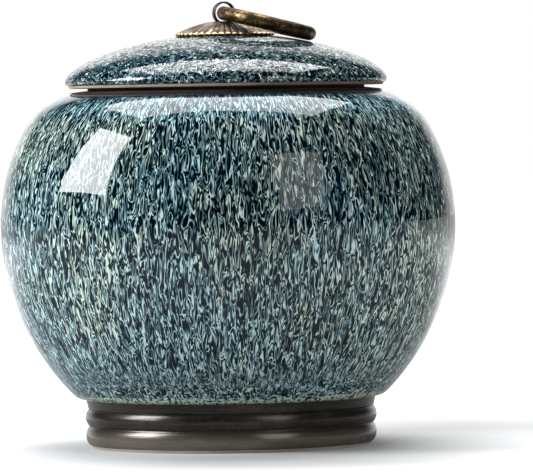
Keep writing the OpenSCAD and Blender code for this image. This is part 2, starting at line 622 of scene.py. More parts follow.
@dataclass(frozen=True)
class GlazeRun:
    """How a glaze that ran down a jar changes from shoulder to foot, and the shade painted on it.

    Heights are measured up the jar's side from the foot. The right is the side of the ring.
    """

    stretch: float = 0.24
    green_above: float = 58.0 * MM
    green_rise: float = 2.2
    # Painted shade: a band across the belly made darker, deeper towards the right, away from the
    # key light.
    shade_band_from: Span = (48.0 * MM, 60.0 * MM)
    shade_band_to: Span = (78.0 * MM, 90.0 * MM)
    shade_band_level: float = 0.065
    shade_band_right: float = 0.9
    pale_below: Span = (50.0 * MM, 18.0 * MM)
    pale_level: float = 0.012
    rim: Span = (85.0 * MM, 96.0 * MM)
    rim_tint: Colour = (0.86, 0.95, 1.0)
    rim_blue: float = 0.22
    rim_pale: float = 0.06
    rim_left: Span = (-36.0 * MM, -52.0 * MM)
    rim_left_dark: float = 0.20
    close: Span = (14.0 * MM, 2.0 * MM)
    close_scale: float = 0.56
    fringe: Span = (1.5 * MM, 0.4 * MM)
    fringe_grain: float = 800.0
    fringe_gaps: Span = (0.46, 0.56)
    fringe_pale: Colour = (0.42, 0.50, 0.38)
    shade: Span = (97.0 * MM, 100.5 * MM)
    shade_depth: float = 0.95

    def turn(self, bench: Bench, flow: object, hue: object) -> bpy.types.NodeSocket:
        """Turns the hue greener up the side, and bluer at the rim.

        Args:
            bench: Bench of the glaze.
            flow: Place along the run of the glaze.
            hue: The hue, green where it is high.

        Returns:
            The new hue.
        """
        up = bench.split(flow)[2]
        above = bench.sum("SUBTRACT", up, self.green_above)
        hue = bench.sum("ADD", hue, bench.sum("MULTIPLY", above, self.green_rise))
        bluer = bench.sum("MULTIPLY", bench.step(up, *self.rim), self.rim_blue)
        return bench.sum("SUBTRACT", hue, bluer)

    def change(self, bench: Bench, flow: object, level: object) -> bpy.types.NodeSocket:
        """Makes the glaze paler or darker by where it is on the jar, and paints a band of shade.

        Args:
            bench: Bench of the glaze.
            flow: Place along the run of the glaze.
            level: The level of its tone, pale where it is high.

        Returns:
            The new level.
        """
        across, _, up = bench.split(flow)
        paler = bench.sum("MULTIPLY", bench.step(up, *self.pale_below), self.pale_level)
        level = bench.sum("ADD", level, paler)
        # Painted shade: a band across the belly, darker towards the right.
        band = bench.sum(
            "SUBTRACT", bench.step(up, *self.shade_band_from), bench.step(up, *self.shade_band_to),
        )
        darker = bench.sum("MULTIPLY_ADD", across, self.shade_band_right, self.shade_band_level)
        level = bench.sum("SUBTRACT", level, bench.sum("MULTIPLY", band, darker))
        left = bench.step(across, *self.rim_left)
        lift = bench.sum("MULTIPLY_ADD", left, -self.rim_left_dark, self.rim_pale)
        rim = bench.step(up, *self.rim)
        return bench.sum("ADD", level, bench.sum("MULTIPLY", rim, lift))

    def finish_edges(
        self, bench: Bench, flow: object, colour: object, close: object, dark: Colour,
    ) -> bpy.types.NodeSocket:
        """Colours the glaze's lower edge, its rim and the shade under the lid.

        Args:
            bench: Bench of the glaze.
            flow: Place along the run of the glaze.
            colour: The streaked colour.
            close: The unstretched colour of the lower edge.
            dark: The glaze's darkest tone.

        Returns:
            The new colour.
        """
        up = bench.split(flow)[2]
        colour = bench.blend(bench.step(up, *self.close), colour, close)
        gaps = bench.step(bench.noise(flow, self.fringe_grain, 1.0), *self.fringe_gaps)
        fringe = bench.sum("MULTIPLY", bench.step(up, *self.fringe), gaps)
        colour = bench.blend(fringe, colour, self.fringe_pale)
        colour = bench.blend(bench.step(up, *self.rim), colour, self.rim_tint, "MULTIPLY")
        shade = bench.sum("MULTIPLY", bench.step(up, *self.shade), self.shade_depth)
        return bench.blend(shade, colour, dark)


@dataclass(frozen=True)
class MottledGlaze:
    """A glossy blue-green glaze that has broken into islands, and into streaks where it ran."""

    name: str
    run: GlazeRun | None = None
    scale: float = 600.0
    level: float = -0.05
    dry: float = 0.0
    dry_below: Span = (-0.05, 0.28)
    gloss: float = 1.45
    dark: Colour = (0.0005, 0.003, 0.008)
    deep: Colour = (0.014, 0.035, 0.047)
    blue_ground: Colour = (0.060, 0.136, 0.164)
    green_ground: Colour = (0.086, 0.145, 0.142)
    blue_pale: Colour = (0.440, 0.605, 0.610)
    green_pale: Colour = (0.520, 0.610, 0.500)
    green_right: float = 0.9
    blue_to_green: Span = (0.40, 0.60)
    hue_scale: float = 30.0
    hue_grain: float = 420.0
    patch_scale: float = 38.0
    patch_level: float = 0.10
    relief: float = 0.05 * MM

    def material(self, mottle: bpy.types.NodeTree) -> bpy.types.Material:
        """Makes the material.

        Args:
            mottle: The mottle effect.

        Returns:
            The material.
        """
        material, bench, shader = new_material(self.name)
        if self.run:
            flow = bench.add("ShaderNodeAttribute", attribute_name="flow").outputs["Vector"]
            streak = bench.vector("MULTIPLY", flow, (1.0, 1.0, self.run.stretch))
        else:
            flow = streak = bench.add("ShaderNodeTexCoord").outputs["Object"]
        patches = bench.sum("SUBTRACT", bench.noise(flow, self.patch_scale, 2.0, 0.55), 0.5)
        level = bench.sum("ADD", bench.sum("MULTIPLY", patches, self.patch_level), self.level)
        broad = bench.noise(flow, self.hue_scale, 1.0)
        fine = bench.noise(streak, self.hue_grain, 2.0, 0.6)
        across = bench.split(flow)[0]
        hue = bench.weigh((broad, 0.5), (fine, 0.5), (across, self.green_right))
        if self.run:
            hue = self.run.turn(bench, flow, hue)
            level = self.run.change(bench, flow, level)
        hue = bench.step(hue, *self.blue_to_green)
        tones = {
            "Level": level, "Dark": self.dark, "Deep": self.deep,
            "Ground": bench.blend(hue, self.blue_ground, self.green_ground),
            "Pale": bench.blend(hue, self.blue_pale, self.green_pale),
        }
        main = bench.place(mottle, Place=streak, Scale=self.scale, **tones)
        colour, height = main.outputs["Color"], main.outputs["Height"]
        if self.run:
            scale = self.scale * self.run.close_scale
            close = bench.place(mottle, Place=flow, Scale=scale, **tones).outputs["Color"]
            colour = self.run.finish_edges(bench, flow, colour, close, self.dark)
        bench.feed(shader.inputs["Base Color"], colour)
        bench.raise_surface(shader, height, 0.12, self.relief)
        if self.dry:
            coat = bench.blend(bench.step(height, *self.dry_below), grey(1 - self.dry), WHITE)
            bench.feed(shader.inputs["Coat Weight"], coat)
        set_shader(
            shader, Roughness=0.5, Coat_Weight=1.0, Coat_Roughness=0.03,
            Coat_IOR=self.gloss, Specular_IOR_Level=0.0,
        )
        return material


@dataclass(frozen=True)
class FiredClay:
    """Clay with fine turning lines: bare, or under a dark metallic slip; it can carry painted
    light.
    """

    name: str
    base: Colour
    spot: Colour
    rough: float
    metal: float = 0.0
    lines: float = 1.0
    # Painted shade: darker clay towards the right, away from the key light.
    right_shade: float = 0.0
    # Painted reflection: a paler brown low on the foot, standing in for the floor seen in the lower
    # ridge.
    wear_and_sheen: Colour | None = None
    spots: Span = (0.38, 0.62)
    line_shape: Place = (0.04, 0.04, 1.0)
    right_shade_tint: Colour = (0.06, 0.035, 0.02)
    right_shade_span: Span = (-2.0 * MM, 24.0 * MM)
    right_shade_stray: float = 12.0 * MM
    # Where the painted reflection low on the foot begins, and how it strays and dims.
    floor_sheen_below: Span = (8.0 * MM, 3.5 * MM)
    floor_sheen_stray: float = 2.0 * MM
    floor_sheen_dim: float = 0.7
    relief: float = 0.08 * MM

    def material(self) -> bpy.types.Material:
        """Makes the material.

        Returns:
            The material.
        """
        material, bench, shader = new_material(self.name)
        at = bench.add("ShaderNodeTexCoord").outputs["Object"]
        across, _, up = bench.split(at)
        broad = bench.noise(at, 90.0, 3.0, 0.6)
        fine = bench.noise(at, 1500.0, 3.0, 0.6)
        turned = bench.noise(bench.vector("MULTIPLY", at, self.line_shape), 1700.0, 2.0, 0.6)
        tone = bench.weigh((broad, 0.45), (fine, 0.2), (turned, 0.35))
        spots = bench.step(tone, *self.spots)
        colour = bench.blend(spots, self.base, self.spot)
        # Painted shade towards the right side.
        if self.right_shade:
            right = bench.sum("ADD", across, bench.sum("MULTIPLY", broad, self.right_shade_stray))
            right_shaded = bench.sum("MULTIPLY", bench.step(right, *self.right_shade_span), self.right_shade)
            colour = bench.blend(right_shaded, colour, self.right_shade_tint)
        # Painted reflection of the floor on the lower ridge.
        if self.wear_and_sheen:
            low = bench.sum("ADD", up, bench.sum("MULTIPLY", broad, self.floor_sheen_stray))
            darker = tuple(self.floor_sheen_dim * share for share in self.wear_and_sheen)
            wear_and_sheen = bench.blend(spots, darker, self.wear_and_sheen)
            colour = bench.blend(bench.step(low, *self.floor_sheen_below), colour, wear_and_sheen)
        bench.feed(shader.inputs["Base Color"], colour)
        rough = bench.sum("ADD", self.rough - 0.06, bench.sum("MULTIPLY", fine, 0.12))
        bench.feed(shader.inputs["Roughness"], rough)
        height = bench.sum("ADD", turned, bench.sum("MULTIPLY", fine, 0.4))
        bench.raise_surface(shader, height, 0.5 * self.lines, self.relief)
        set_shader(shader, Metallic=self.metal, Specular_IOR_Level=0.75 if self.metal else 0.5)
        return material


@dataclass(frozen=True)
class AgedMetal:
    """Old brass or iron, bright where wear clears it; the cap's edge is also a painted highlight.
    """

    name: str
    metal: Colour
    patina: Colour
    wear: float
    grain: float = 900.0
    grooved: bool = False
    groove_patina: float = 0.10
    # The cap's gold edge: brass bright from wear, and also a painted highlight along the scallops.
    rub_and_glint_colour: Colour = (0.72, 0.50, 0.26)
    rub_and_glint_span: Span = (14.1 * MM, 14.7 * MM)
    rub_and_glint_wear: float = 0.12
    relief: float = 0.05 * MM

    def material(self, patina: bpy.types.NodeTree) -> bpy.types.Material:
        """Makes the material.

        Args:
            patina: The patina effect.

        Returns:
            The material.
        """
        material, bench, shader = new_material(self.name)
        at = bench.add("ShaderNodeTexCoord").outputs["Object"]
        wear, metal = self.wear, self.metal
        if self.grooved:
            groove = bench.add("ShaderNodeAttribute", attribute_name="groove").outputs["Fac"]
            wear = bench.sum("SUBTRACT", wear, bench.sum("MULTIPLY", groove, self.groove_patina))
            # Gold edge: wear and a painted highlight at once.
            away = bench.vector("LENGTH", bench.vector("MULTIPLY", at, (1.0, 1.0, 0.0)))
            rub_and_glint = bench.step(away, *self.rub_and_glint_span)
            metal = bench.blend(rub_and_glint, metal, self.rub_and_glint_colour)
            wear = bench.sum("ADD", wear, bench.sum("MULTIPLY", rub_and_glint, self.rub_and_glint_wear))
        aged = bench.place(
            patina, Place=at, Wear=wear, Metal=metal, Patina=self.patina, Grain=self.grain,
        )
        bench.feed(shader.inputs["Base Color"], aged.outputs["Color"])
        bench.feed(shader.inputs["Roughness"], aged.outputs["Roughness"])
        bench.raise_surface(shader, aged.outputs["Height"], 0.35, self.relief)
        set_shader(shader, Metallic=1.0)
        return material


# ---------------------------------------------------------------- studio


@dataclass(frozen=True)
class Softbox:
    """A rectangular studio light."""

    name: str
    place: Place
    faces: Place
    width: float
    height: float
    power: float
    colour: Colour = WHITE

    def hang(self) -> bpy.types.Object:
        """Hangs the light in the studio.

        Returns:
            The light.
        """
        lamp = bpy.data.lights.new(self.name, "AREA")
        lamp.shape = "RECTANGLE"
        lamp.size, lamp.size_y = self.width, self.height
        lamp.energy, lamp.color = self.power, self.colour
        box = bpy.data.objects.new(self.name, lamp)
        bpy.context.scene.collection.objects.link(box)
        box.rotation_euler = Vector(self.faces).to_track_quat("-Z", "Y").to_euler()
        box.location = self.place
        return box


@dataclass(frozen=True)
class Shade:
    """A painted shadow: a soft round patch of the floor painted darker."""

    centre: Point
    half: Point
    depth: float
    edge: Span = (1.0, 0.1)

    def light(self, bench: Bench, at: bpy.types.NodeSocket) -> bpy.types.NodeSocket:
        """Says how much of the floor's white is left.

        Args:
            bench: Bench of the floor's material.
            at: Place on the floor.

        Returns:
            1 outside the patch, less inside.
        """
        away = bench.vector("SUBTRACT", at, (*self.centre, 0.0))
        away = bench.vector("LENGTH", bench.vector("DIVIDE", away, (*self.half, 1.0)))
        return bench.sum("MULTIPLY_ADD", bench.step(away, *self.edge), -self.depth, 1.0)


@dataclass
class Studio:
    """The floor, the lights, the surroundings and the camera.

    The wall is for gloss to show: its greys run from in front of the urn, at 0, to behind it,
    at 1.
    """

    camera_place: Place = (0.00895, -1.66, 0.0997)
    yaw: float = -0.00144
    pitch: float = -0.02301
    roll: float = -0.01591
    lens: float = 377.3
    sensor: float = 36.0
    floor_half: float = 6.0
    floor_white: float = 0.92
    # Painted shadows on the floor: in front of the urn, behind it to the right, and to its left.
    painted_shadows: tuple[Shade, ...] = (
        Shade((0.012, -0.085), (0.115, 0.085), 0.50),
        Shade((0.050, 0.095), (0.12, 0.12), 0.46),
        Shade((-0.045, 0.01), (0.038, 0.10), 0.30),
    )
    floor_side: float = 0.28
    floor_back: float = 0.70
    floor_front: float = 0.32
    floor_glow: float = 0.10
    floor_back_glow: float = 0.35
    floor_fade: Span = (0.12, 0.7)
    front: Span = (0.0, -0.08)
    back: Span = (0.05, 0.35)
    room_light: float = 0.25
    room_dark: float = 0.01
    wall: tuple[Point, ...] = ((0.0, 0.01), (0.81, 0.02), (0.90, 0.48), (0.95, 1.0))
    wall_lean: float = -0.03
    wall_within: Span = (0.80, 0.55)
    gain: float = 0.6
    gain_above: Span = (0.04, 0.16)
    gain_across: Span = (0.34, 0.14)
    lights: tuple[Softbox, ...] = (
        Softbox(
            "left_softbox", (-0.732, -0.147, 0.531), (0.913, 0.398, 0.087),
            0.39, 0.57, 11.8, (0.95, 0.98, 1.0),
        ),
        Softbox(
            "right_softbox", (0.502, -0.627, 0.391), (-0.387, 0.661, -0.643), 0.36, 0.475, 1.1,
        ),
        Softbox(
            "top_softbox", (0.0, 0.285, 1.0), (0.0, 0.0, -1.0),
            1.08, 0.73, 15.5, (0.97, 0.985, 1.0),
        ),
    )

    def build(self) -> None:
        """Sets the whole studio up."""
        self.set_camera()
        self.lay_floor()
        self.surround()
        for light in self.lights:
            light.hang()
        bpy.context.scene.view_settings.view_transform = "Standard"
        LOG.info("studio: %d softboxes", len(self.lights))

    def set_camera(self) -> None:
        """Stands the camera in front of the urn."""
        lens = bpy.data.cameras.new("camera")
        lens.lens, lens.sensor_width, lens.sensor_fit = self.lens, self.sensor, "HORIZONTAL"
        lens.clip_start, lens.clip_end = 0.05, 60.0
        camera = bpy.data.objects.new("camera", lens)
        bpy.context.scene.collection.objects.link(camera)
        level = Vector((math.cos(self.yaw), math.sin(self.yaw), 0.0))
        flat = math.cos(self.pitch)
        ahead = Vector((
            -math.sin(self.yaw) * flat, math.cos(self.yaw) * flat, math.sin(self.pitch),
        ))
        above = level.cross(ahead)
        side = level * math.cos(self.roll) + above * math.sin(self.roll)
        top = above * math.cos(self.roll) - level * math.sin(self.roll)
        turn = Matrix((side, top, -ahead)).transposed()
        camera.matrix_world = Matrix.Translation(self.camera_place) @ turn.to_4x4()
        bpy.context.scene.camera = camera

    def lay_floor(self) -> None:
        """Lays a white floor with painted shadows; gloss sees it duller than the camera does."""
        deselect()
        bpy.ops.mesh.primitive_plane_add(size=2 * self.floor_half, location=(0, 0, 0))
        floor = bpy.context.object
        floor.name = "floor"
        material, bench, shader = new_material("white_floor")
        set_shader(shader, Roughness=0.9, Specular_IOR_Level=0.0)
        shader.inputs["Emission Color"].default_value = (*WHITE, 1.0)
        at = bench.add("ShaderNodeTexCoord").outputs["Object"]
        path = bench.add("ShaderNodeLightPath")
        gloss = path.outputs["Is Glossy Ray"]
        depth = bench.split(at)[1]
        back = bench.step(depth, *self.back)
        white = self.floor_white
        # Painted shadows darken the floor's white.
        for shade in self.painted_shadows:
            white = bench.sum("MULTIPLY", white, shade.light(bench, at))
        dull = bench.blend(back, grey(self.floor_side), grey(self.floor_back))
        white = bench.blend(gloss, white, dull)
        front = bench.sum("MULTIPLY", bench.step(depth, *self.front), gloss)
        white = bench.blend(front, white, grey(self.floor_front))
        bench.feed(shader.inputs["Base Color"], white)
        glow = bench.sum("MULTIPLY", back, self.floor_back_glow)
        glow = bench.sum("ADD", self.floor_glow, glow)
        glow = bench.sum("MAXIMUM", glow, path.outputs["Is Camera Ray"])
        fade = bench.step(bench.vector("LENGTH", at), *self.floor_fade)
        bench.feed(shader.inputs["Emission Strength"], bench.sum("MULTIPLY", glow, fade))
        floor.data.materials.append(material)

    def surround(self) -> None:
        """Surrounds the studio: white for the camera, and for gloss a wall and a dim room."""
        world = bpy.data.worlds.new("studio")
        world.use_nodes = True
        bpy.context.scene.world = world
        bench = Bench(world.node_tree)
        back = world.node_tree.nodes["Background"]
        path = bench.add("ShaderNodeLightPath")
        gloss = path.outputs["Is Glossy Ray"]
        across, depth, up = bench.split(bench.add("ShaderNodeTexCoord").outputs["Generated"])
        aside = bench.sum("ABSOLUTE", across)
        lean = bench.sum("MULTIPLY_ADD", across, self.wall_lean, 0.5)
        behind = bench.ramp(
            bench.sum("ADD", bench.sum("MULTIPLY", depth, 0.5), lean),
            [(place, grey(tone)) for place, tone in self.wall],
        )
        within = bench.step(bench.sum("ADD", up, aside), *self.wall_within)
        behind = bench.blend(within, grey(self.room_dark), behind)
        seen = bench.blend(gloss, grey(self.room_light), behind)
        seen = bench.blend(path.outputs["Is Camera Ray"], seen, WHITE)
        bench.feed(back.inputs["Color"], seen)
        brighter = bench.sum(
            "MULTIPLY", bench.step(up, *self.gain_above), bench.step(aside, *self.gain_across),
        )
        gain = bench.sum("MULTIPLY", bench.sum("MULTIPLY_ADD", brighter, self.gain, 1.0), gloss)
        bench.feed(back.inputs["Strength"], bench.sum("MAXIMUM", gain, 1.0))


# ---------------------------------------------------------------- the urn


@dataclass
class Jar:
    """The round jar on its ridged foot, open at the top."""

    belly_r: float = 67.55
    belly_z: float = 66.0
    low_curve_r: float = 71.2
    high_curve_r: float = 58.0
    shoulder_r: float = 22.0
    shoulder_from: float = 30.0
    shoulder_to: float = 74.0
    wall: float = 4.5
    foot_h: float = 14.6
    foot_r: float = 42.3415
    recess_h: float = 3.0
    floor_t: float = 6.0
    lip_h: float = 0.9
    rim_w: float = 5.7
    rim_rise: float = 0.7
    neck_h: float = 0.7
    neck_w: float = 3.4
    bare_top: float = 3.2
    slip_top: float = 14.45
    shoulder_top: float = 105.0
    uneven_z: Span = (17.0, 100.0)
    uneven_r: float = 44.0
    uneven_grain: float = 22.0
    uneven_depth: float = 0.22
    steps: int = 240
    finishes: tuple[bpy.types.Material, ...] = ()

    def centres(self) -> tuple[Point, Point, Point]:
        """Finds the middles of the body's three curves.

        Returns:
            Those of its low curve, its high curve and its shoulder.
        """
        low = (self.belly_r - self.low_curve_r, self.belly_z)
        high = (self.belly_r - self.high_curve_r, self.belly_z)
        reach = self.high_curve_r - self.shoulder_r
        lean = math.radians(self.shoulder_from)
        return low, high, (high[0] + reach * math.cos(lean), high[1] + reach * math.sin(lean))

    def body_curve(self, inset: float, low_z: float, counts: tuple[int, int, int]) -> list[Point]:
        """Draws the body's side, from its foot to its shoulder.

        Args:
            inset: Distance inside the outer side.
            low_z: Height at which it starts.
            counts: Steps in each of its three curves.

        Returns:
            Its points.
        """
        low, high, shoulder = self.centres()
        radius = self.low_curve_r - inset
        start = -math.degrees(math.asin((self.belly_z - low_z) / radius))
        turns = (self.shoulder_from, self.shoulder_to)
        return (
            arc(low, radius, start, 0.0, counts[0])
            + arc(high, self.high_curve_r - inset, 0.0, self.shoulder_from, counts[1], 1)
            + arc(shoulder, self.shoulder_r - inset, *turns, counts[2], 1)
        )

    def outline(self) -> list[Point]:
        """Draws the jar's whole outline, from the middle of its underside to that of its floor.

        Returns:
            Its points.
        """
        r, base = self.foot_r, self.recess_h
        foot = [
            (0.0, base), (20.0, base), (r - 8.3, base), (r - 7.6, 2.7), (r - 6.4, 0.25),
            (r - 6.0, 0.0), (r - 3.5, 0.0), (r - 1.25, 0.0), (r - 0.95, 0.12), (r - 0.55, 0.75),
        ]
        foot += swell(r - 0.15, 1.0, 5.3, 1.0, 16)
        foot += [(r - 0.15, 6.42)]
        foot += swell(r - 0.05, 6.55, 4.9, 1.0, 16)
        foot += [
            (r + 0.1, 11.6), (r + 0.28, 12.2), (r + 0.42, 12.9), (r + 0.62, 13.6),
            (r + 0.85, 14.2), (r + 0.95, 14.5),
        ]
        side = self.body_curve(0.0, self.foot_h + self.lip_h, (64, 24, 30))
        edge = side[0][0]
        lip = [
            (r + 1.35, 14.42), (r + 1.75, 14.36), (edge - 2.2, 14.45), (edge - 1.5, 14.62),
            (edge - 0.85, 14.9), (edge - 0.35, 15.2),
        ]
        top_r, top_z = side[-1]
        rise = top_z + self.rim_rise
        neck, seat = top_r - self.rim_w, rise + self.neck_h
        mouth = neck - self.neck_w
        rim = [
            (top_r - 0.5, top_z + 0.12), (top_r - 1.2, top_z + 0.22), (neck + 0.9, rise - 0.06),
            (neck + 0.12, rise), (neck, rise + 0.15), (neck, seat - 0.14), (neck - 0.14, seat),
            (mouth + 0.3, seat), (mouth, seat - 0.3),
        ]
        floor = self.recess_h + self.floor_t
        inside = [p for p in self.body_curve(self.wall, floor, (26, 8, 14)) if p[0] > mouth]
        inside.reverse()
        inside = [(mouth, inside[0][1] + 0.6)] + inside + [(18.0, floor), (0.0, floor)]
        return foot + lip + side + rim + inside

    def flow(self, piece: bpy.types.Object) -> None:
        """Writes how far the glaze has run at each point: round the belly, and up the side.

        Args:
            piece: The jar.
        """
        low, high, shoulder = self.centres()
        start = -math.asin((self.belly_z - self.foot_h - self.lip_h) / self.low_curve_r)
        lean = math.radians(self.shoulder_from)
        shoulder_z = self.belly_z + self.high_curve_r * math.sin(lean)
        to_belly = -start * self.low_curve_r
        to_shoulder = to_belly + lean * self.high_curve_r
        values: list[float] = []
        for vertex in piece.data.vertices:
            x, y, z = vertex.co / MM
            r = math.hypot(x, y)
            if z < self.belly_z:
                run = to_belly + math.atan2(z - low[1], r - low[0]) * self.low_curve_r
            elif z < shoulder_z:
                run = to_belly + math.atan2(z - high[1], r - high[0]) * self.high_curve_r
            else:
                turn = math.atan2(z - shoulder[1], r - shoulder[0]) - lean
                run = to_shoulder + turn * self.shoulder_r
            size = self.belly_r / max(r, 1.0)
            values += [x * size * MM, y * size * MM, run * MM]
        flow = piece.data.attributes.new("flow", "FLOAT_VECTOR", "POINT")
        flow.data.foreach_set("vector", values)

    def zone(self, middle: Vector, normal: Vector) -> Zone:
        """Says which finish a face of the jar has.

        Args:
            middle: Its middle, in millimetres.
            normal: Its normal.

        Returns:
            Its zone.
        """
        r = math.hypot(middle.x, middle.y)
        facing = normal.x * middle.x + normal.y * middle.y
        if middle.z < self.bare_top and r < self.foot_r - 0.5:
            return Zone.BARE
        if middle.z < self.slip_top and facing > 0 and -9.0 < r - self.foot_r < 1.3:
            return Zone.FOOT
        on_seat = r < 42.0 and middle.z > self.shoulder_top - 1.5
        if on_seat or (r < 47.2 and middle.z > self.shoulder_top + 0.12):
            return Zone.RIM
        on_floor = r < 41.0 and middle.z < self.recess_h + self.floor_t + 0.5
        if on_floor or (facing < 0 and middle.z < self.shoulder_top):
            return Zone.LINER
        return Zone.GLAZE

    def outside(self, place: Vector) -> bool:
        """Says whether a point is on the glazed outside, clear of the foot and the rim.

        Args:
            place: The point, in metres.

        Returns:
            Whether it is.
        """
        low, high = self.uneven_z
        out = math.hypot(place.x, place.y) > self.uneven_r * MM
        return out and low * MM < place.z < high * MM

    def build(self) -> bpy.types.Object:
        """Builds the jar, dresses it and lets it ride.

        Returns:
            The jar.
        """
        piece = throw("stoneware_jar", self.outline(), self.steps)
        self.flow(piece)
        uneven(piece, self.uneven_grain * MM, self.uneven_depth * MM, self.outside)
        for finish in self.finishes:
            piece.data.materials.append(finish)
        zone_faces(piece, self.zone)
        smooth(piece, 50.0)
        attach(piece, URN)
        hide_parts("jar")
        return piece


@dataclass
class Lid:
    """The low domed lid, with a flange that sits inside the mouth."""

    seat_z: float = 106.548
    lid_r: float = 47.791
    lid_z: float = 108.448
    dome_h: float = 14.1
    lid_t: float = 4.2
    flange_r: float = 37.091
    flange_t: float = 3.5
    flange_h: float = 5.5
    hole_r: float = 2.0
    power: float = 1.7
    bare_h: float = 0.85
    uneven_z: float = 109.0
    uneven_r: float = 17.0
    uneven_grain: float = 16.0
    uneven_depth: float = 0.12
    steps: int = 240
    finishes: tuple[bpy.types.Material, ...] = ()

    def dome(self, a: float, b: float, step: float) -> list[Point]:
        """Draws a dome from its widest point to near its crown.

        Args:
            a: Its radius.
            b: Its height.
            step: Degrees between points.

        Returns:
            Its points.
        """
        points = []
        bend = 2 / self.power
        for i in range(int(84 / step) + 1):
            t = math.radians(i * step)
            points.append((a * math.cos(t) ** bend, self.lid_z + b * math.sin(t) ** bend))
        return points

    def height(self, a: float, b: float, r: float) -> float:
        """Returns the height, r out from the axis, of a dome of radius a and height b."""
        return self.lid_z + b * (1 - (r / a) ** self.power) ** (1 / self.power)

    def outline(self) -> list[Point]:
        """Draws the lid's whole outline as a closed round, beginning under its edge.

        Returns:
            Its points.
        """
        a, b = self.lid_r, self.dome_h
        a_in, b_in = a - self.lid_t, b - self.lid_t
        flange, bore = self.flange_r, self.flange_r - self.flange_t
        seat, foot, hole = self.seat_z, self.seat_z - self.flange_h, self.hole_r
        crown = self.height(a, b, hole)
        edge = [
            (flange, seat), (a - 1.5, seat), (a - 1.25, seat + 0.1), (a - 1.05, seat + 0.45),
            (a - 0.85, seat + 0.82), (a - 0.5, seat + 0.9), (a - 0.22, seat + 1.15),
            (a - 0.05, seat + 1.5),
        ]
        rim = [(hole + 0.15, crown), (hole, crown - 0.15), (hole, self.height(a_in, b_in, hole))]
        under = [p for p in self.dome(a_in, b_in, 4.0) if p[0] < bore - 0.5]
        under.reverse()
        collar = [
            (bore, self.height(a_in, b_in, bore)), (bore, foot + 0.3), (bore + 0.3, foot),
            (flange - 0.6, foot), (flange, foot + 0.6),
        ]
        return edge + self.dome(a, b, 1.6) + rim + under + collar + [edge[0]]

    def zone(self, middle: Vector, _normal: Vector) -> Zone:
        """Says which finish a face of the lid has.

        Args:
            middle: Its middle, in millimetres.
            _normal: Its normal, which makes no difference on the lid.

        Returns:
            Its zone.
        """
        r = math.hypot(middle.x, middle.y)
        if middle.z < self.seat_z + self.bare_h:
            return Zone.BARE
        outer = self.height(self.lid_r, self.dome_h, min(r, self.lid_r - 0.01))
        if (middle.z > outer - 0.7 or r > self.lid_r - 1.3) and r > self.hole_r + 0.05:
            return Zone.GLAZE
        return Zone.BARE

    def outside(self, place: Vector) -> bool:
        """Says whether a point is on the dome, clear of the lid's edge and of the cap."""
        out = math.hypot(place.x, place.y) > self.uneven_r * MM
        return out and place.z > self.uneven_z * MM

    def build(self) -> bpy.types.Object:
        """Builds the lid, dresses it and lets it ride.

        Returns:
            The lid.
        """
        piece = throw("stoneware_lid", self.outline(), self.steps)
        uneven(piece, self.uneven_grain * MM, self.uneven_depth * MM, self.outside)
        for finish in self.finishes:
            piece.data.materials.append(finish)
        zone_faces(piece, self.zone)
        smooth(piece, 50.0)
        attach(piece, URN)
        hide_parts("lid")
        return piece


@dataclass
class Cap:
    """The fluted brass cap under the ring."""

    radius: float = 14.9
    edge_z: float = 122.07
    rise: float = 4.0
    thickness: float = 0.5
    hole_r: float = 2.9
    flutes: int = 42
    depth: float = 0.27
    phases: int = 8
    row_reach: float = 0.05
    part_reach: float = 0.25
    edge_break: float = 0.12
    crests: tuple[float, ...] = (1.0, 0.93, 0.7, 0.2, -1.0)
    finish: bpy.types.Material | None = None

    def top(self, r: float) -> float:
        """Returns the height of the cap's upper side at a distance from the axis."""
        return self.edge_z + self.rise * (1 - (r / self.radius) ** 2)

    def rings(self) -> list[float]:
        """Returns the distances from the axis at which the cap has a row of points."""
        inner = [self.hole_r + (self.radius - self.hole_r) * i / 18 for i in range(18)]
        return inner + [self.radius - 0.25, self.radius]

    def in_row(self, place: Vector, r: float, phase: int) -> bool:
        """Says whether a point is in one row and at one part of a flute.

        Args:
            place: The point, in metres.
            r: The row's distance from the axis.
            phase: The part of a flute, counted from its crest to its groove.

        Returns:
            Whether it is.
        """
        if abs(math.hypot(place.x, place.y) / MM - r) > self.row_reach:
            return False
        pitch = math.tau / self.flutes
        part = (math.atan2(place.y, place.x) % pitch) / pitch * self.phases
        same = (phase, self.phases - phase, self.phases + phase)
        return min(abs(part - other) for other in same) < self.part_reach

    def flute(self, piece: bpy.types.Object) -> None:
        """Presses the flutes in, deepening from the crown to the edge, and scallops the edge.

        Args:
            piece: The plain cap.
        """
        for r in self.rings():
            share = (r / self.radius) ** 1.5
            for phase, wave in enumerate(self.crests):
                pick(piece, lambda place: self.in_row(place, r, phase))
                rise = self.depth / 2 * share * wave
                bpy.ops.transform.translate(value=(0, 0, rise * MM))
                shrink = 1 - self.depth * share * (1 - wave) / 2 / r
                bpy.ops.transform.resize(value=(shrink, shrink, 1), center_override=(0, 0, 0))
        bpy.ops.object.mode_set(mode="OBJECT")

    def mark_grooves(self, piece: bpy.types.Object) -> None:
        """Writes how deep in a groove each point lies, for the patina.

        Args:
            piece: The fluted cap.
        """
        pitch = math.tau / self.flutes
        values = []
        for vertex in piece.data.vertices:
            x, y = vertex.co.x / MM, vertex.co.y / MM
            part = (math.atan2(y, x) % pitch) / pitch
            inward = min(1.0, math.hypot(x, y) / self.radius + 0.2)
            values.append(max(0.0, 1.0 - abs(part - 0.5) * 5.0) * inward)
        groove = piece.data.attributes.new("groove", "FLOAT", "POINT")
        groove.data.foreach_set("value", values)

    def build(self) -> bpy.types.Object:
        """Builds the cap, dresses it and lets it ride.

        Returns:
            The cap.
        """
        outline = [(r, self.top(r)) for r in self.rings()]
        piece = throw("fluted_cap", outline, self.flutes * self.phases)
        self.flute(piece)
        finish_with(piece, "SOLIDIFY", thickness=self.thickness * MM, offset=-1.0)
        break_edges(piece, self.edge_break)
        self.mark_grooves(piece)
        piece.data.materials.append(self.finish)
        smooth(piece, 60.0)
        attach(piece, URN)
        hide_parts("cap")
        return piece


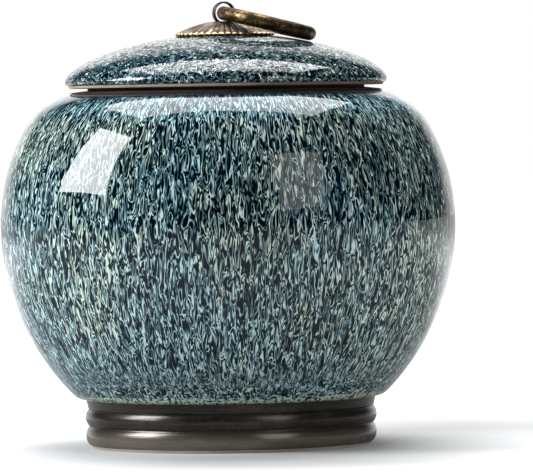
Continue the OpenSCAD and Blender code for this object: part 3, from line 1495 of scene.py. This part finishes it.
@dataclass
class Pin:
    """The split pin: an eye of bent strip, with two legs spread under the lid."""

    eye_r: float = 2.9
    strip_t: float = 0.5
    strip_w: float = 1.9
    turn: float = 21.0
    place_x: float = -0.3
    eye_z: float = 128.393
    throat_r: float = 1.5
    bend_r: float = 1.0
    leg_spread: float = 9.0
    leg_z: float = 0.0
    edge_break: float = 0.1
    finish: bpy.types.Material | None = None

    def path(self) -> list[Point]:
        """Draws the middle of the strip, from one leg's tip round the eye to the other's.

        Returns:
            Its points, from the middle of the eye.
        """
        mid = self.eye_r + self.strip_t / 2
        leg = self.strip_t / 2 + 0.05
        across = leg + self.throat_r
        throat = (across, -math.sqrt((mid + self.throat_r) ** 2 - across ** 2))
        turn = math.degrees(math.atan2(throat[1], throat[0]))
        bend = (leg + self.bend_r, self.leg_z - self.eye_z + self.bend_r)
        half = (
            arc((0.0, 0.0), mid, 90.0, turn, 28)
            + arc(throat, self.throat_r, 180.0 + turn, 180.0, 8, first=1)
            + arc(bend, self.bend_r, 180.0, 270.0, 8)
            + [(leg + self.leg_spread, bend[1] - self.bend_r)]
        )
        return [(-x, z) for x, z in reversed(half)] + half[1:]

    def build(self) -> bpy.types.Object:
        """Builds the pin, dresses it and lets it ride.

        Returns:
            The pin.
        """
        side = -self.strip_w / 2 * MM
        points = [Vector((x * MM, side, z * MM)) for x, z in self.path()]
        piece = start_point("split_pin", points[0])
        draw_out(points)
        bpy.ops.mesh.select_all(action="SELECT")
        width = {"value": (0, self.strip_w * MM, 0)}
        bpy.ops.mesh.extrude_region_move(TRANSFORM_OT_translate=width)
        bpy.ops.mesh.select_all(action="SELECT")
        bpy.ops.mesh.normals_make_consistent(inside=False)
        bpy.ops.object.mode_set(mode="OBJECT")
        thickness = self.strip_t * MM
        finish_with(piece, "SOLIDIFY", thickness=thickness, offset=0.0, use_even_offset=True)
        break_edges(piece, self.edge_break)
        piece.rotation_euler = (0, 0, math.radians(self.turn))
        piece.location = (self.place_x * MM, 0, self.eye_z * MM)
        settle(piece)
        piece.data.materials.append(self.finish)
        smooth(piece, 50.0)
        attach(piece, URN)
        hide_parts("pin")
        return piece


@dataclass
class Ring:
    """The pull ring, lying over on the lid."""

    radius: float = 13.05
    wire_r: float = 2.05
    place_x: float = -0.3
    wire_z: float = 128.293
    lie: float = 14.1
    uneven_grain: float = 3.5
    uneven_depth: float = 0.12
    finish: bpy.types.Material | None = None

    def build(self) -> bpy.types.Object:
        """Builds the ring, dresses it and lets it ride.

        Returns:
            The ring.
        """
        deselect()
        lean = math.radians(self.lie)
        middle = (
            (self.place_x + self.radius * math.cos(lean)) * MM,
            0.0,
            (self.wire_z - self.radius * math.sin(lean)) * MM,
        )
        bpy.ops.mesh.primitive_torus_add(
            major_radius=self.radius * MM, minor_radius=self.wire_r * MM,
            major_segments=180, minor_segments=40, location=middle, rotation=(0, lean, 0),
        )
        piece = bpy.context.object
        piece.name = piece.data.name = "pull_ring_brass"
        settle(piece)
        uneven(piece, self.uneven_grain * MM, self.uneven_depth * MM, everywhere)
        piece.data.materials.append(self.finish)
        smooth(piece, 60.0)
        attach(piece, PULL_RING)
        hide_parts("ring")
        return piece


def report(piece: bpy.types.Object) -> None:
    """Logs a finished piece and its number of triangles."""
    piece.data.calc_loop_triangles()
    LOG.info("%s: %d triangles", piece.name, len(piece.data.loop_triangles))


def main() -> None:
    """Builds the studio and the urn's pieces in order."""
    logging.basicConfig(level=logging.INFO, format="%(name)s %(message)s")
    Studio().build()
    mottle, patina = mottle_group(), patina_group()
    jar_glaze = MottledGlaze("jar_streaked_glaze", GlazeRun()).material(mottle)
    lid_glaze = MottledGlaze(
        "lid_mottled_glaze", scale=430.0, level=-0.22, dry=0.7, gloss=1.62,
        blue_pale=(0.60, 0.82, 0.84), green_pale=(0.66, 0.82, 0.72),
    ).material(mottle)
    slip = FiredClay(
        "dark_foot_slip", (0.022, 0.018, 0.015), (0.060, 0.050, 0.041), 0.25,
        metal=0.50, wear_and_sheen=(0.24, 0.205, 0.165),
    ).material()
    bare = FiredClay(
        "bare_clay", (0.53, 0.455, 0.41), (0.66, 0.59, 0.54), 0.8, lines=0.6,
    ).material()
    seat = FiredClay(
        "seat_clay", (0.42, 0.34, 0.25), (0.58, 0.48, 0.36), 0.75, lines=0.6, right_shade=0.8,
    ).material()
    rim = FiredClay(
        "rim_slip", (0.05, 0.035, 0.028), (0.09, 0.065, 0.05), 0.6, lines=0.5,
    ).material()
    liner = FiredClay(
        "liner_glaze", (0.02, 0.05, 0.06), (0.04, 0.09, 0.1), 0.15, lines=0.2,
    ).material()
    brass = AgedMetal(
        "cap_old_brass", (0.32, 0.245, 0.175), (0.05, 0.035, 0.025), 0.50, grooved=True,
    ).material(patina)
    ring_brass = AgedMetal(
        "ring_old_brass", (0.42, 0.275, 0.12), (0.04, 0.028, 0.016), 0.42, 1500.0,
    ).material(patina)
    iron = AgedMetal(
        "pin_dark_iron", (0.50, 0.48, 0.46), (0.03, 0.027, 0.024), 0.45,
    ).material(patina)
    lid = Lid(finishes=(lid_glaze, slip, seat, rim, liner))
    under = lid.height(lid.lid_r - lid.lid_t, lid.dome_h - lid.lid_t, Pin.leg_spread)
    for maker in (
        Jar(finishes=(jar_glaze, slip, bare, rim, liner)),
        lid,
        Cap(finish=brass),
        Pin(finish=iron, leg_z=under - 0.15 - Pin.strip_t / 2),
        Ring(finish=ring_brass),
    ):
        report(maker.build())
    deselect()
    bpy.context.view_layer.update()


if __name__ == "__main__":
    main()
